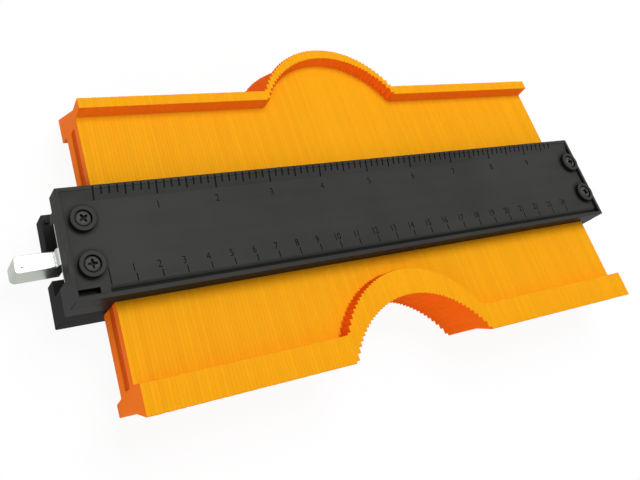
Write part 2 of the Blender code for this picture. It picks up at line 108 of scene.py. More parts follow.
# Ruler face: distances from the cover's edges, tick lengths, and shift and Y of numerals
END_MARGIN = 13 * MM
CHANNEL = 4.6 * MM
CHANNEL_STEPS = 14
INCH_STRIP, STRIP_DROP = 4.3 * MM, 0.25 * MM
ZERO_MARGIN, ZERO_OVERLAP = 0.6 * MM, 0.2 * MM
WINDOW_START, WINDOW_END, WINDOW_FRONT, WINDOW_BACK = 2.1 * MM, 10.1 * MM, 2.4 * MM, 4.6 * MM
WINDOW_DEPTH = 4.2 * MM
FRONT_TICK_INSET, FRONT_TICK, ZERO_TICK = 4.7 * MM, 2.9 * MM, 6.2 * MM
BACK_TICK_INSET, BACK_TICK_WIDER = 0.5 * MM, 1.6
EIGHTH_TICK, HALF_TICK, INCH_TICK = 3.1 * MM, 4.0 * MM, 5.1 * MM
NEVER = 1000
FRONT_NUMERAL, BACK_NUMERAL = (-0.6 * MM, -11.9 * MM), (-0.8 * MM, 11.4 * MM)

# Screws and nuts; the head's profile is in millimetres in from its edge and up
SEAT_DEPTH, SEAT_CLEARANCE, HEAD_GAP = 1.4 * MM, 0.45 * MM, 0.08 * MM
SCREW_CLEARANCE = 0.2 * MM
HEAD_PROFILE = ((0.1, 0.0), (0.0, 0.12), (0.0, 0.45), (0.1, 0.78), (0.42, 1.06), (1.0, 1.22))
HEAD_CROWN = 1.9 * MM
CROSS_ARM, CROSS_HALF, CROSS_DEPTH = 1.8 * MM, 0.4 * MM, 1.0 * MM
THREAD_LOW, THREAD_PITCH, THREAD_DEPTH, THREAD_TIP = 0.6 * MM, 0.7 * MM, 0.3 * MM, 0.7 * MM
SCREW_TURN = 0.55
NUT_HALF_FLATS, NUT_CLEARANCE = 2.75 * MM, 0.1 * MM
POCKET_CLEARANCE, POCKET_DEPTH = 0.2 * MM, 2.88 * MM
HEXAGON = math.cos(math.pi / 6)

# Pin and lever
PIN_END, PIN_CLEARANCE = 15.8 * MM, 0.1 * MM
LEVER_DROP, LEVER_HEEL = 0.7 * MM, 1.0 * MM
DIMPLE_INSET, DIMPLE_SHIFT = 2.6 * MM, 1.4 * MM
SLOT_LENGTH, SLOT_CLEARANCE, SLOT_BACK = 13.0 * MM, 0.4 * MM, 5.0 * MM

# Leaf, with its corner radii in millimetres
LEAF_CORNERS = (0.35, 0.8, 0.35, 0.3, 0.5, 0.5, 0.3) * 2
LEAF_MIDDLE = 1.5
TIP_REACH = 56 * MM
GROOVE_FRONT, GROOVE_BACK, GROOVE_DEPTH = -51.0 * MM, 52.5 * MM, 0.45 * MM
GROOVE_RISE, GROOVE_CORNER = 0.8 * MM, 0.8 * MM

# Camera, fitted to the photograph, and its lamps
IMAGE_WIDTH, IMAGE_HEIGHT = 640.0, 480.0
SENSOR = 36.0
CAMERA_FOCAL = 781.898
CAMERA_CENTRE = (256.0, 112.0)
CAMERA_PLACE = (-0.21373, -0.0935, 0.29192)
CAMERA_RIGHT = (0.867165, -0.283996, 0.409111)
CAMERA_UP = (0.045905, 0.863556, 0.502159)
CAMERA_BACK = (-0.495901, -0.416674, 0.761883)
LAMP_TARGET = (0.0, 0.0, 0.02)


# Sizes

def length(label, text, value):
    return FloatProperty(name=label, description=text, default=value, unit="LENGTH", precision=5)


def colour(label, text, value):
    return FloatVectorProperty(
        name=label, description=text, default=value, subtype="COLOR", min=0.0, max=1.0)


class BodySizes(bpy.types.PropertyGroup):
    height: length("Height", "Height of both covers together, without the collars", 32.0 * MM)
    cover: length("Cover thickness", "Thickness of one cover's slab", 7.7 * MM)
    edge: length("Edge radius", "Rounding of the moulded edges", 0.32 * MM)
    rim: length("Rim width", "Width of the raised rim round the ruler face", 1.5 * MM)
    floor: length("Floor depth", "How far the ruler face lies below the rim", 1.5 * MM)
    trough: length("Trough depth", "Depth of the soft trough in front of the scale", 0.6 * MM)
    tick_width: length("Tick width", "Width of an engraved tick", 0.44 * MM)
    tick_depth: length("Tick depth", "Depth of ticks and numerals", 0.3 * MM)
    digit: length("Numeral size", "Type size of the numerals", 4.3 * MM)
    zero: length("Zero inset", "Ruler zero from the lever end", 14.4 * MM)
    plastic: colour("Cover plastic", "Colour of the moulded covers", (0.037, 0.037, 0.035))


class LeafSizes(bpy.types.PropertyGroup):
    pitch: length("Pitch", "Distance from one leaf to the next", 1.575 * MM)
    per_set: IntProperty(name="Leaves per set", description="Leaves on one body", default=4)
    gap: length("Gap", "Hairline between two leaves", 0.01 * MM)
    chamfer: length("Chamfer", "Broken edge of a leaf", 0.035 * MM)
    tip_chamfer: length("Tip chamfer", "Broken edge across a leaf's two tips", 0.22 * MM)
    jitter: length("Jitter", "Unevenness of the leaf tips", 0.05 * MM)
    groove: length("Groove", "Width of the long groove in a leaf's side", 5.6 * MM)
    arch_centre: length("Arch centre", "Middle of the held round shape", 1.2 * MM)
    arch_radius: length("Arch radius", "Radius of the held round shape", 40.7 * MM)
    arch_depth: length("Arch depth", "Depth of the held round shape", 21.7 * MM)
    plastic: colour("Leaf plastic", "Colour of the leaves seen in the light", (0.92, 0.385, 0.008))
    # Painted shade: this deeper colour on the leaves' sides stands in for the shade that falls on
    # them.
    flank: colour("Leaf flank", "Deeper colour of the leaves' sides", (1.0, 0.195, 0.01))


class LeverSizes(bpy.types.PropertyGroup):
    sheet: length("Sheet", "Thickness of the lever's steel", 1.1 * MM)
    flare: length("Flare", "How much wider the lever is at its tip", 0.4 * MM)
    corner: length("Corner", "Corner radius at the lever's tip", 1.4 * MM)
    bend: length("Bend", "Outer radius of the folded edges", 0.7 * MM)
    dimple: length("Dimple", "Radius of the punched hole near the tip", 0.6 * MM)
    steel: colour("Plated steel", "Colour of the bright plating", (0.98, 0.98, 0.96))
    # Painted shade: this duller colour on the lever's folded sides stands in for the shade on them.
    fold: colour("Folded sides", "Duller colour of the lever's folded sides", (0.42, 0.46, 0.4))


class ScrewSizes(bpy.types.PropertyGroup):
    inset_left: length("Left inset", "Screw axes from the lever end", 8.6 * MM)
    inset_right: length("Right inset", "Screw axes from the far end", 5.0 * MM)
    spread: length("Half spread", "Screw axes from the middle line", 8.7 * MM)
    shank: length("Shank radius", "Outer radius of the thread", 1.5 * MM)
    head: length("Head radius", "Radius of the pan head", 2.9 * MM)
    head_height: length("Head height", "Height of the pan head", 1.3 * MM)
    collar: length("Collar radius", "Radius of the moulded collar round a head", 4.8 * MM)
    collar_rise: length("Collar rise", "How far a collar stands above the rim", 0.5 * MM)
    steel: colour("Blackened steel", "Colour of the screws", (0.06, 0.059, 0.057))
    zinc: colour("Plated nut", "Colour of the nuts", (0.56, 0.57, 0.55))


class StageSizes(bpy.types.PropertyGroup):
    span: length("Floor span", "Half the width of the floor", 6.0)
    paper: colour("Paper", "Colour of the floor", (0.94, 0.94, 0.94))
    key: FloatProperty(name="Key light", description="Power of the main lamp", default=12.0)
    fill: FloatProperty(name="Fill light", description="Power of the soft lamp", default=9.0)
    sky: FloatProperty(name="Sky", description="Level of the even light", default=0.32)


GROUPS = {
    "gauge_body": BodySizes,
    "gauge_leaf": LeafSizes,
    "gauge_lever": LeverSizes,
    "gauge_screw": ScrewSizes,
    "gauge_stage": StageSizes,
}


# Node graphs

class Wire:
    """One output in a node tree, for use in Python expressions on numbers."""

    def __init__(self, graph, socket):
        self.graph = graph
        self.socket = socket

    def math(self, operation, *others):
        return self.graph.add(
            "ShaderNodeMath", {"operation": operation}, dict(enumerate((self, *others))))

    def __add__(self, other):
        return self.math("ADD", other)

    def __sub__(self, other):
        return self.math("SUBTRACT", other)

    def __mul__(self, other):
        return self.math("MULTIPLY", other)

    def __truediv__(self, other):
        return self.math("DIVIDE", other)

    def __rsub__(self, other):
        return self.graph.add(
            "ShaderNodeMath", {"operation": "SUBTRACT"}, {0: other, 1: self})

    __radd__ = __add__
    __rmul__ = __mul__

    def above(self, low, high):
        """A smooth step from 0 at low to 1 at high."""
        settings = {"interpolation_type": "SMOOTHSTEP"}
        return self.graph.add("ShaderNodeMapRange", settings, {0: self, 1: low, 2: high})


class Graph:
    """A node tree whose nodes are made by one method."""

    def __init__(self, tree):
        self.tree = tree

    def add(self, kind, settings=None, values=None, output=0):
        node = self.tree.nodes.new(kind)
        for key, value in (settings or {}).items():
            setattr(node, key, value)
        for key, value in (values or {}).items():
            self.feed(node.inputs[key], value)
        return Wire(self, node.outputs[output])

    def feed(self, socket, value):
        if isinstance(value, Wire):
            self.tree.links.new(value.socket, socket)
        else:
            socket.default_value = value


class Finish(Graph):
    """A material on the Principled shader, with its pattern on object coordinates."""

    def __init__(self, name, view_colour):
        self.material = bpy.data.materials.new(name)
        self.material.use_nodes = True
        self.material.diffuse_color = (*view_colour, 1.0)
        super().__init__(self.material.node_tree)
        self.shader = self.tree.nodes["Principled BSDF"]
        self.place = self.add("ShaderNodeTexCoord", output="Object")

    def set(self, **values):
        for key, value in values.items():
            self.feed(self.shader.inputs[key.replace("_", " ")], value)
        return self.material

    def stretched(self, x, y, z):
        return self.add(
            "ShaderNodeMapping", None, {"Vector": self.place, "Scale": (x, y, z)})

    def noise(self, scale, detail=2.0, rough=0.5, vector=None):
        return self.add("ShaderNodeTexNoise", None, {
            "Vector": vector or self.place, "Scale": scale, "Detail": detail, "Roughness": rough})

    def mix(self, factor, a, b):
        return self.add("ShaderNodeMix", {"data_type": "RGBA"}, {0: factor, 6: a, 7: b}, output=2)

    def bump(self, height, strength, distance):
        values = {"Height": height, "Strength": strength, "Distance": distance}
        return self.add("ShaderNodeBump", None, values)

    def axis(self, letter):
        return self.add("ShaderNodeSeparateXYZ", None, {0: self.place}, output=letter)

    def facing(self, letter):
        """How far the surface points along one axis, from 0 to 1."""
        normal = self.add("ShaderNodeTexCoord", output="Normal")
        part = self.add("ShaderNodeSeparateXYZ", None, {0: normal}, output=letter)
        return part.math("ABSOLUTE")


def rgba(value, scale=1.0):
    return (*[min(1.0, part * scale) for part in value], 1.0)


def from_screws(finish, places):
    """Distance from the nearest screw axis."""
    reach = None
    for x, y in places:
        across, along = finish.axis("X") - x, finish.axis("Y") - y
        here = (across * across + along * along).math("SQRT")
        reach = reach.math("MINIMUM", here) if reach else here
    return reach


def cover_plastic(name, shade, gloss, floor=None, ramp=(0.0, 0.0), collar=0.0):
    """Satin black moulding with a fine sparked grain and faint flow marks; painted shade darkens its
    sides and, given a floor, its engraved marks and the floor round the screw collars.
    """
    finish = Finish(name, shade)
    grain = finish.noise(3800.0, 3.0, 0.6)
    cloud = finish.noise(22.0, 3.0, 0.55)
    flow = finish.noise(60.0, 2.0, 0.5, finish.stretched(0.25, 3.0, 1.0))
    tone = cloud * 0.7 + flow * 0.3
    base = finish.mix(tone.above(0.3, 0.7), rgba(shade, 0.9), rgba(shade, 1.16))
    dust = finish.noise(900.0, 2.0, 0.7).above(0.69, 0.76) * 0.1
    base = finish.mix(dust, base, rgba((0.2, 0.19, 0.17)))
    # Painted shade: faces that don't point up are darkened to a third of the plastic's colour.
    up = finish.facing("Z")
    base = finish.mix(up.above(0.5, 0.95), rgba(shade, 0.3), base)
    if floor:
        foot, slope = ramp
        level = finish.axis("Z") - (finish.axis("Y") - foot).math("MAXIMUM", 0.0) * slope
        # Painted shade: up-facing bottoms of the engraved ticks and numerals, below the ruler floor
        # and the sloped strip, are darkened.
        sunk = 1.0 - level.above(floor - 0.2 * MM, floor - 0.1 * MM)
        base = finish.mix(sunk * up.above(0.9, 0.97), base, rgba(shade, 0.2))
        # Painted shadow: the floor round each screw collar and the collar's foot are darkened
        # towards a tenth of the plastic's colour, fading out 2.4 mm from the collar.
        reach = from_screws(finish, screw_places())
        collar_shade = (1.0 - reach.above(collar - 0.3 * MM, collar + 2.4 * MM)) * (
            1.0 - finish.axis("Z").above(floor + 0.3 * MM, floor + 1.1 * MM))
        base = finish.mix(collar_shade * 0.75, base, rgba(shade, 0.1))
    rough = grain * 0.12 + cloud * 0.08 + 0.36
    return finish.set(
        Base_Color=base, Roughness=rough, Specular_IOR_Level=gloss,
        Normal=finish.bump(grain, 0.22, 0.00006))


def leaf_plastic(name, shade, flank, pitch, start):
    """Orange moulding: each leaf a touch different, with painted shade on its sides and on the floor
    of its side groove.
    """
    finish = Finish(name, shade)
    number = ((finish.axis("X") - start) / pitch).math("FLOOR")
    tone = finish.add("ShaderNodeTexWhiteNoise", {"noise_dimensions": "1D"}, {"W": number})
    flow = finish.noise(40.0, 3.0, 0.6, finish.stretched(9.0, 0.35, 1.0))
    top = finish.mix(tone, rgba(shade, 0.965), rgba(shade, 1.03))
    top = finish.mix(flow.above(0.35, 0.72) * 0.08, top, rgba(flank, 0.93))
    # Painted shade: faces that don't point up take the deeper flank colour.
    side = finish.mix(flow.above(0.3, 0.7), rgba(flank, 0.95), rgba(flank, 1.0))
    # Painted shade: the floor of each leaf's side groove is darkened to a deep red.
    part = (finish.axis("X") - start) / pitch - number
    floor = part.above(0.1, 0.2) * (1.0 - part.above(0.5, 0.6)) * finish.facing("X").above(0.5, 0.9)
    side = finish.mix(floor * 0.8, side, rgba((0.62, 0.045, 0.003)))
    up = finish.facing("Z").above(0.45, 0.95)
    base = finish.mix(up, side, top)
    rough = flow * 0.16 + tone * 0.05 + 0.36
    lines = finish.noise(260.0, 2.0, 0.5, finish.stretched(6.0, 0.12, 1.0))
    return finish.set(
        Base_Color=base, Roughness=rough, Specular_IOR_Level=0.01,
        Subsurface_Weight=0.1, Subsurface_Radius=(1.0, 0.28, 0.04), Subsurface_Scale=0.003,
        Normal=finish.bump(lines, 0.12, 0.00005))


def bright_steel(name, shade, along=(1.0, 14.0, 14.0), side=None):
    """Plated steel with fine drawn lines and a few cloudy patches; given a side colour, faces that
    don't point up take it as painted shade.
    """
    finish = Finish(name, shade)
    drawn = finish.noise(420.0, 3.0, 0.6, finish.stretched(*along))
    cloud = finish.noise(130.0, 3.0, 0.5)
    base = finish.mix(cloud.above(0.35, 0.7), rgba(shade, 1.04), rgba(shade, 0.9))
    # Painted shade: faces that don't point up take the duller side colour.
    if side:
        base = finish.mix(finish.facing("Z").above(0.4, 0.95), rgba(side), base)
    rough = drawn * 0.14 + cloud * 0.12 + 0.16
    return finish.set(
        Base_Color=base, Roughness=rough, Metallic=1.0,
        Normal=finish.bump(drawn, 0.1, 0.00004))


def dark_steel(name, shade, places, top):
    """Blackened screw steel, worn on its high spots, with painted shade that turns it black down in
    the cross.
    """
    finish = Finish(name, shade)
    # Painted shade: black, and not metallic, inside the cross recess of each screw head.
    cross_shade = (1.0 - from_screws(finish, places).above(1.9 * MM, 2.0 * MM)) * (
        1.0 - finish.axis("Z").above(top - 0.3 * MM, top - 0.2 * MM))
    grain = finish.noise(2600.0, 3.0, 0.65)
    patch = finish.noise(500.0, 3.0, 0.6)
    worn = patch.above(0.6, 0.72) * 0.35
    base = finish.mix(worn, rgba(shade), rgba((0.1, 0.097, 0.092)))
    base = finish.mix(cross_shade, base, rgba((0.002, 0.002, 0.002)))
    rough = grain * 0.18 + 0.42
    return finish.set(
        Base_Color=base, Roughness=rough, Metallic=worn * (1.0 - cross_shade), Specular_IOR_Level=0.1,
        Normal=finish.bump(grain, 0.2, 0.00004))


def plate_plastic(name, shade):
    """Glass-filled grey plate with short flecks."""
    finish = Finish(name, shade)
    fleck = finish.noise(1500.0, 2.0, 0.7, finish.stretched(1.0, 0.25, 1.0))
    base = finish.mix(fleck.above(0.6, 0.75) * 0.5, rgba(shade), rgba(shade, 2.2))
    return finish.set(
        Base_Color=base, Roughness=fleck * 0.2 + 0.42, Normal=finish.bump(fleck, 0.15, 0.00005))


# Mesh helpers

def link(name, mesh):
    piece = bpy.data.objects.new(name, mesh)
    bpy.context.scene.collection.objects.link(piece)
    return piece


def link_bmesh(name, work):
    bmesh.ops.recalc_face_normals(work, faces=work.faces)
    mesh = bpy.data.meshes.new(name)
    work.to_mesh(mesh)
    work.free()
    return link(name, mesh)


def bake(piece):
    """Turn a piece with live modifiers into a plain mesh."""
    graph = bpy.context.evaluated_depsgraph_get()
    mesh = bpy.data.meshes.new_from_object(piece.evaluated_get(graph), depsgraph=graph)
    piece.modifiers.clear()
    old = piece.data
    piece.data = mesh
    if old.users == 0:
        bpy.data.meshes.remove(old)
    return piece


def rounded(outline, radius, steps=4):
    """Round every corner of a closed outline; radius may be one value per corner."""
    count = len(outline)
    radii = radius if isinstance(radius, (list, tuple)) else [radius] * count
    points = []
    for index, corner in enumerate(outline):
        here = Vector(corner)
        before = Vector(outline[index - 1]) - here
        after = Vector(outline[(index + 1) % count]) - here
        size = radii[index]
        angle = before.angle(after)
        if size <= 0.0 or angle > math.radians(176):
            points.append(tuple(here))
            continue
        cut = min(size / math.tan(angle / 2), before.length * 0.48, after.length * 0.48)
        real = cut * math.tan(angle / 2)
        centre = here + (before.normalized() + after.normalized()).normalized() * (
            real / math.sin(angle / 2))
        first = here + before.normalized() * cut - centre
        last = here + after.normalized() * cut - centre
        turn = first.angle_signed(last)
        for step in range(steps + 1):
            spot = first.copy()
            spot.rotate(Matrix.Rotation(-turn * step / steps, 2))
            points.append(tuple(centre + spot))
    return points


def circle(centre_a, centre_b, radius, segments):
    points = []
    for index in range(segments):
        angle = 2 * math.pi * index / segments
        points.append((centre_a + radius * math.cos(angle), centre_b + radius * math.sin(angle)))
    return points


def on_axis(axis, a, b, along):
    if axis == "X":
        return (along, a, b)
    if axis == "Y":
        return (a, along, b)
    return (a, b, along)


def add_prism(work, outline, axis, start, end):
    low = [work.verts.new(on_axis(axis, a, b, start)) for a, b in outline]
    high = [work.verts.new(on_axis(axis, a, b, end)) for a, b in outline]
    work.faces.new(low)
    work.faces.new(high)
    for index in range(len(outline)):
        after = (index + 1) % len(outline)
        work.faces.new((low[index], low[after], high[after], high[index]))


def prism(name, outline, axis, start, end):
    work = bmesh.new()
    add_prism(work, outline, axis, start, end)
    return link_bmesh(name, work)


def loft(name, sections):
    """A closed piece through loops of points that have the same count."""
    work = bmesh.new()
    loops = [[work.verts.new(point) for point in section] for section in sections]
    count = len(loops[0])
    for lower, upper in zip(loops, loops[1:]):
        for index in range(count):
            after = (index + 1) % count
            work.faces.new((lower[index], lower[after], upper[after], upper[index]))
    work.faces.new(loops[0])
    work.faces.new(loops[-1])
    return link_bmesh(name, work)


def lathe(name, rings, steps):
    """A closed turned piece round the Z axis, from (radius, z) rings."""
    return loft(name, [
        [(a, b, z) for a, b in circle(0.0, 0.0, size, steps)] for size, z in rings])


def box_outline(a0, a1, b0, b1):
    return [(a0, b0), (a1, b0), (a1, b1), (a0, b1)]


def combine(target, tool, operation):
    modifier = target.modifiers.new("shape", "BOOLEAN")
    modifier.operation = operation
    modifier.solver = "EXACT"
    modifier.object = tool
    bake(target)
    mesh = tool.data
    bpy.data.objects.remove(tool, do_unlink=True)
    bpy.data.meshes.remove(mesh)


def cut(target, tool):
    combine(target, tool, "DIFFERENCE")


def add(target, tool):
    combine(target, tool, "UNION")


def clean(piece):
    work = bmesh.new()
    work.from_mesh(piece.data)
    bmesh.ops.remove_doubles(work, verts=work.verts, dist=0.000002)
    bmesh.ops.dissolve_limit(work, angle_limit=0.001, verts=work.verts, edges=work.edges)
    bmesh.ops.recalc_face_normals(work, faces=work.faces)
    work.to_mesh(piece.data)
    work.free()


def soften(piece, radius, segments=2, angle=40.0):
    """Round the moulded edges of a piece."""
    clean(piece)
    bevel = piece.modifiers.new("edges", "BEVEL")
    bevel.width = radius
    bevel.segments = segments
    bevel.limit_method = "ANGLE"
    bevel.angle_limit = math.radians(angle)
    bevel.use_clamp_overlap = True
    bevel.miter_outer = "MITER_ARC"
    bake(piece)


def shade(piece, angle=50.0):
    """Smooth rounded edges and keep broad faces flat."""
    work = bmesh.new()
    work.from_mesh(piece.data)
    for face in work.faces:
        face.smooth = True
    for edge in work.edges:
        if len(edge.link_faces) != 2:
            continue
        turn = math.degrees(edge.calc_face_angle())
        narrow = min(face.calc_area() / face.calc_perimeter() for face in edge.link_faces)
        edge.smooth = turn < angle and not (narrow > 0.15 * MM and turn > 10.0)
    work.to_mesh(piece.data)
    work.free()
    weight = piece.modifiers.new("weight", "WEIGHTED_NORMAL")
    weight.keep_sharp = True
    bake(piece)


def dress(piece, material, body, slot, *nodes):
    """Give a finished piece its material, its body and the solids it stands for."""
    piece.data.materials.clear()
    piece.data.materials.append(material)
    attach(piece, body)
    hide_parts(*nodes)


def numerals(name, marks, size, low, high):
    """Closed letter blocks for engraving, from (text, x, y) marks."""
    work = bmesh.new()
    for text, x, y in marks:
        curve = bpy.data.curves.new("numeral", "FONT")
        curve.body = text
        curve.size = size
        curve.extrude = (high - low) / 2
        curve.resolution_u = 3
        curve.align_x = "CENTER"
        curve.align_y = "CENTER"
        curve.space_character = 0.94
        letters = link("numeral", curve)
        bpy.context.view_layer.update()
        mesh = bpy.data.meshes.new_from_object(letters)
        narrow = Matrix.Scale(0.86, 4, (1, 0, 0))
        mesh.transform(Matrix.Translation((x, y, (low + high) / 2)) @ narrow)
        work.from_mesh(mesh)
        bpy.data.objects.remove(letters, do_unlink=True)
        bpy.data.curves.remove(curve)
        bpy.data.meshes.remove(mesh)
    bmesh.ops.remove_doubles(work, verts=work.verts, dist=0.000005)
    return link_bmesh(name, work)


# Repeated pieces

class Repeat(Graph):
    """A Geometry Nodes tree that puts a small mesh on a row of points."""

    def __init__(self, name, inputs):
        tree = bpy.data.node_groups.new(name, "GeometryNodeTree")
        super().__init__(tree)
        tree.interface.new_socket("Geometry", in_out="INPUT", socket_type="NodeSocketGeometry")
        tree.interface.new_socket("Geometry", in_out="OUTPUT", socket_type="NodeSocketGeometry")
        self.ids = {}
        for label, kind in inputs.items():
            socket = tree.interface.new_socket(label, in_out="INPUT", socket_type=kind)
            self.ids[label] = socket.identifier
        node = tree.nodes.new("NodeGroupInput")
        self.given = {item.name: Wire(self, item) for item in node.outputs if item.name}

    def row(self, count, x, y, z):
        """Points at the places that x, y and z give."""
        nowhere = (0.0, 0.0, 0.0)
        line = self.add("GeometryNodeMeshLine", None, {
            "Count": count, "Start Location": nowhere, "Offset": nowhere})
        place = self.add("ShaderNodeCombineXYZ", None, {0: x, 1: y, 2: z})
        return self.add("GeometryNodeSetPosition", None, {"Geometry": line, "Position": place})

    def close(self, points, **turns):
        """Put the piece on the points and end in real meshes with the given material."""
        copies = self.add("GeometryNodeInstanceOnPoints", None, {
            "Points": points, "Instance": self.given["Geometry"], **turns})
        real = self.add("GeometryNodeRealizeInstances", None, {0: copies})
        done = self.add(
            "GeometryNodeSetMaterial", None, {"Geometry": real, "Material": self.given["Material"]})
        last = self.tree.nodes.new("NodeGroupOutput")
        self.tree.links.new(done.socket, last.inputs[0])

    def use(self, piece, **values):
        modifier = piece.modifiers.new("repeat", "NODES")
        modifier.node_group = self.tree
        for label, value in values.items():
            modifier[self.ids[label.replace("_", " ")]] = value
        return bake(piece)


def tick_tree():
    """Ticks of three lengths along a scale, each a block to be cut away."""
    number, whole = "NodeSocketFloat", "NodeSocketInt"
    tree = Repeat("ruler ticks", {
        "Count": whole, "Step": number, "Start": number, "Edge": number, "Grow": number,
        "Short": number, "Half": number, "Long": number, "Middle every": whole,
        "Long every": whole, "Z": number, "Material": "NodeSocketMaterial"})
    given = tree.given
    index = tree.add("GeometryNodeInputIndex")
    middle = 1.0 - (index.math("FLOORED_MODULO", given["Middle every"])).math("MINIMUM", 1.0)
    whole_mark = 1.0 - (index.math("FLOORED_MODULO", given["Long every"])).math("MINIMUM", 1.0)
    reach = given["Short"] + (given["Half"] - given["Short"]) * middle
    reach = reach + (given["Long"] - given["Half"]) * whole_mark
    x = given["Start"] + index * given["Step"]
    y = given["Edge"] + reach * given["Grow"] * 0.5
    stretch = tree.add("ShaderNodeCombineXYZ", None, {0: 1.0, 1: reach, 2: 1.0})
    tree.close(tree.row(given["Count"], x, y, given["Z"]), Scale=stretch)
    return tree


def leaf_tree():
    """A run of leaves, each pushed back by the round shape that the pack holds."""
    number, whole = "NodeSocketFloat", "NodeSocketInt"
    tree = Repeat("leaf pack", {
        "Count": whole, "First": whole, "Start": number, "Pitch": number,
        "Arch centre": number, "Arch radius": number, "Arch depth": number,
        "Jitter": number, "Seed": whole, "Material": "NodeSocketMaterial"})
    given = tree.given
    index = tree.add("GeometryNodeInputIndex")
    order = index + given["First"]
    x = given["Start"] + order * given["Pitch"]
    across = x + given["Pitch"] * 0.5 - given["Arch centre"]
    inside = given["Arch radius"] * given["Arch radius"] - across * across
    drop = given["Arch radius"] - given["Arch depth"]
    push = (inside.math("MAXIMUM", 0.0).math("SQRT") - drop).math("MAXIMUM", 0.0)
    loose = tree.add("FunctionNodeRandomValue", {"data_type": "FLOAT"}, {
        2: given["Jitter"] * -1.0, 3: given["Jitter"], 7: order, 8: given["Seed"]}, output=1)
    tree.close(tree.row(given["Count"], x, push + loose, 0.0))
    return tree


def four_tree():
    """One fastener copied to the four screw places."""
    number = "NodeSocketFloat"
    tree = Repeat("four fasteners", {
        "Left": number, "Right": number, "Spread": number, "Turn": number,
        "Material": "NodeSocketMaterial"})
    given = tree.given
    index = tree.add("GeometryNodeInputIndex")
    side = index.math("GREATER_THAN", 1.5)
    back = index.math("FLOORED_MODULO", 2.0)
    x = given["Left"] + (given["Right"] - given["Left"]) * side
    y = given["Spread"] * (back * 2.0 - 1.0)
    angle = tree.add("ShaderNodeCombineXYZ", None, {0: 0.0, 1: 0.0, 2: index * given["Turn"]})
    tree.close(tree.row(4, x, y, 0.0), Rotation=angle)
    return tree


# Covers

def groups():
    """The sizes of the covers and of the screws."""
    scene = bpy.context.scene
    return scene.gauge_body, scene.gauge_screw


def screw_places():
    screw = bpy.context.scene.gauge_screw
    left = COVER_LOW.x + screw.inset_left
    right = COVER_HIGH.x - screw.inset_right
    return [(x, y) for x in (left, right) for y in (-screw.spread, screw.spread)]


def cover_outline():
    x0, x1, y0, y1 = COVER_LOW.x, COVER_HIGH.x, COVER_LOW.y, COVER_HIGH.y
    return rounded(box_outline(x0, x1, y0, y1), COVER_CORNER, 3)


def pillar_outline():
    x0, y0 = COVER_LOW.x, COVER_LOW.y
    wall = y0 + WALL
    end = PACK_LOW.x - PACK_CLEARANCE
    side, reach = x0 + PILLAR_DEPTH, y0 + PILLAR_REACH
    return [
        (x0, y0), (end, y0), (end, wall), (side, wall), (side, reach),
        (side - PILLAR_CORNER, reach + PILLAR_CORNER), (x0, reach + PILLAR_CORNER)]


def add_posts(cover, low, high):
    """Pillar, walls, end block and bosses that hold the covers apart."""
    x0, x1, y0, y1 = COVER_LOW.x, COVER_HIGH.x, COVER_LOW.y, COVER_HIGH.y
    end = PACK_LOW.x - PACK_CLEARANCE
    last = PACK_HIGH.x + PACK_CLEARANCE
    add(cover, prism("pillar", pillar_outline(), "Z", low, high))
    wall = box_outline(x0 + BACK_WALL_START, end, y1 - WALL, y1)
    add(cover, prism("wall", wall, "Z", low, high))
    add(cover, prism("end block", box_outline(last, x1, y0, y1), "Z", low, high))
    for x, y in screw_places()[:2]:
        add(cover, prism("boss", circle(x, y, BOSS_RADIUS, 40), "Z", low, high))


def inch_ramp(body):
    """Where the sloped inch strip starts in Y, and its slope."""
    return COVER_HIGH.y - body.rim - INCH_STRIP, (body.floor - STRIP_DROP) / INCH_STRIP


def ruler_recess(cover):
    """The sunk ruler face with its front channel and the sloped inch strip."""
    body = bpy.context.scene.gauge_body
    x0, x1, y0, y1 = COVER_LOW.x, COVER_HIGH.x, COVER_LOW.y, COVER_HIGH.y
    floor = body.height - body.floor
    above = body.height + OVERCUT
    ramp_top = y1 - body.rim
    ramp = [(ramp_top - INCH_STRIP, floor), (ramp_top, body.height - STRIP_DROP), (ramp_top, above)]
    start = y0 + body.rim
    trough = [(start, above)]
    for step in range(1, CHANNEL_STEPS + 1):
        along = step / CHANNEL_STEPS
        depth = body.trough * math.sin(math.pi * along ** 0.8) ** 1.2
        trough.append((start + (CHANNEL - body.rim) * along, floor - depth))
    ruler = trough + ramp
    plain = [(start, above), (start, floor)] + ramp
    split = x0 + body.zero - ZERO_MARGIN
    cut(cover, prism("ruler", ruler, "X", split, x1 - body.rim))
    cut(cover, prism("end", plain, "X", x0 + body.rim, split + ZERO_OVERLAP))
    window = box_outline(x0 + WINDOW_START, x0 + WINDOW_END, y0 + WINDOW_FRONT, y0 + WINDOW_BACK)
    cut(cover, prism("slot", window, "Z", body.height - WINDOW_DEPTH, above))


